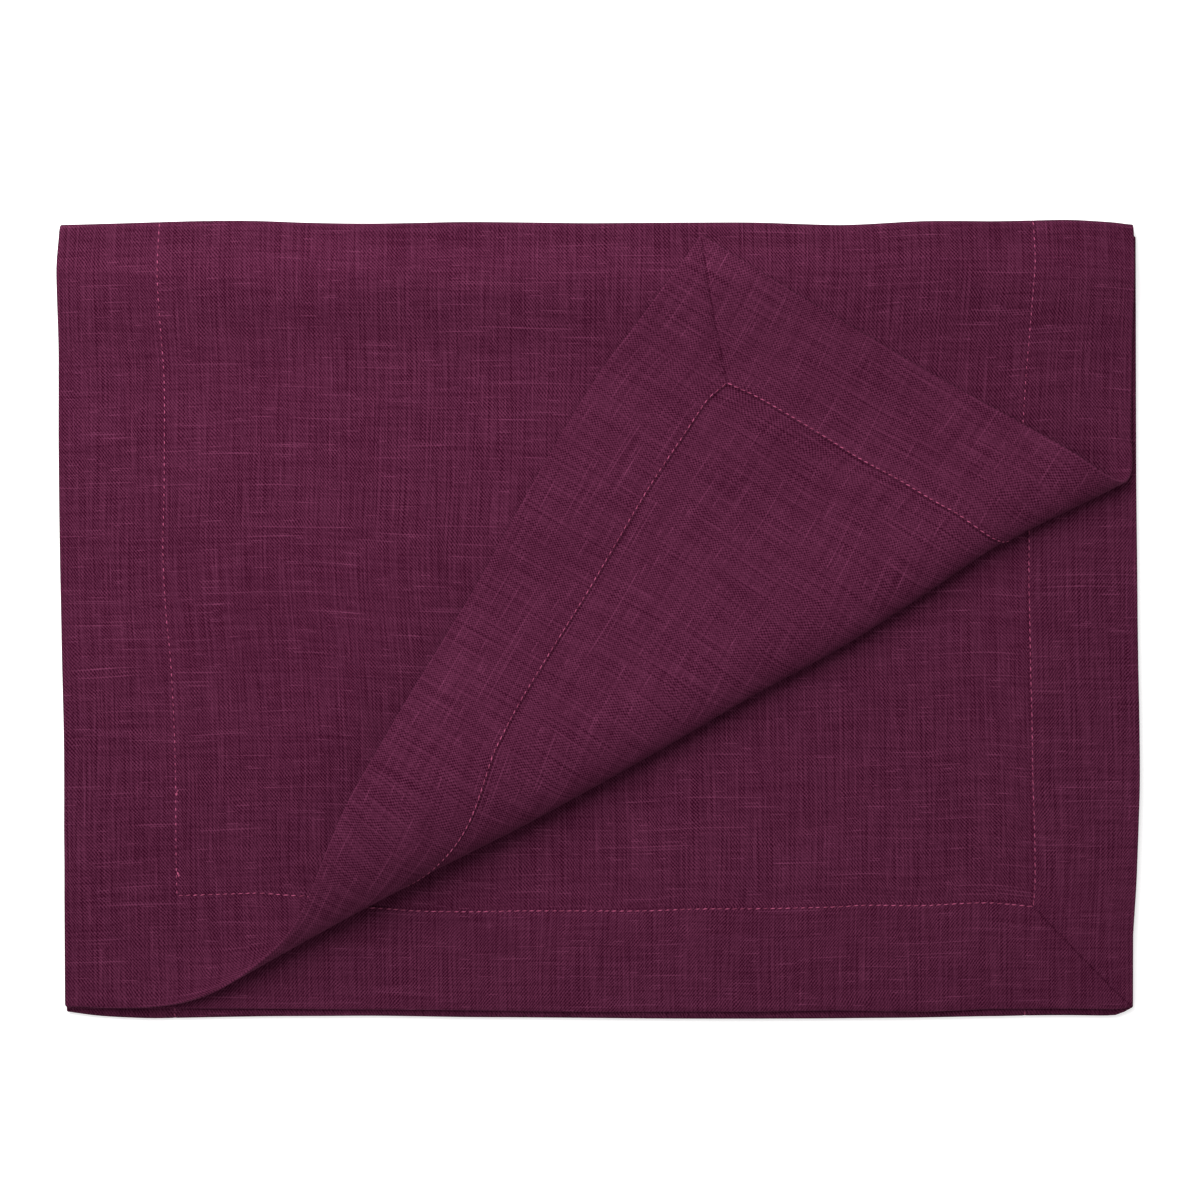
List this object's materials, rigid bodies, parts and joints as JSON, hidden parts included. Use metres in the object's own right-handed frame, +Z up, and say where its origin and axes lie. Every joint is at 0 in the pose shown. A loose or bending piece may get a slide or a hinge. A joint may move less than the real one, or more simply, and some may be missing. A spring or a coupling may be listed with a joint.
{
  "type": "linen table runner",
  "caption": "Plain hemmed linen table runner, folded flat in layers with one corner of the top layer rolled back over the stack.",
  "frame": {"origin": "middle of the folded cloth's outline, on the surface that it lies on", "axes": "+X across the cloth, from its left long edge to its right one; +Y from the free ends to the top fold; +Z up"},
  "size_m": [0.4042, 0.2988, 0.0282],
  "materials": {
    "linen": "plain-weave plum linen with slubs, matt, seams sewn in a brighter plum-pink thread"
  },
  "bodies": {
    "root": {"runner": "linen"}
  },
  "joints": []
}
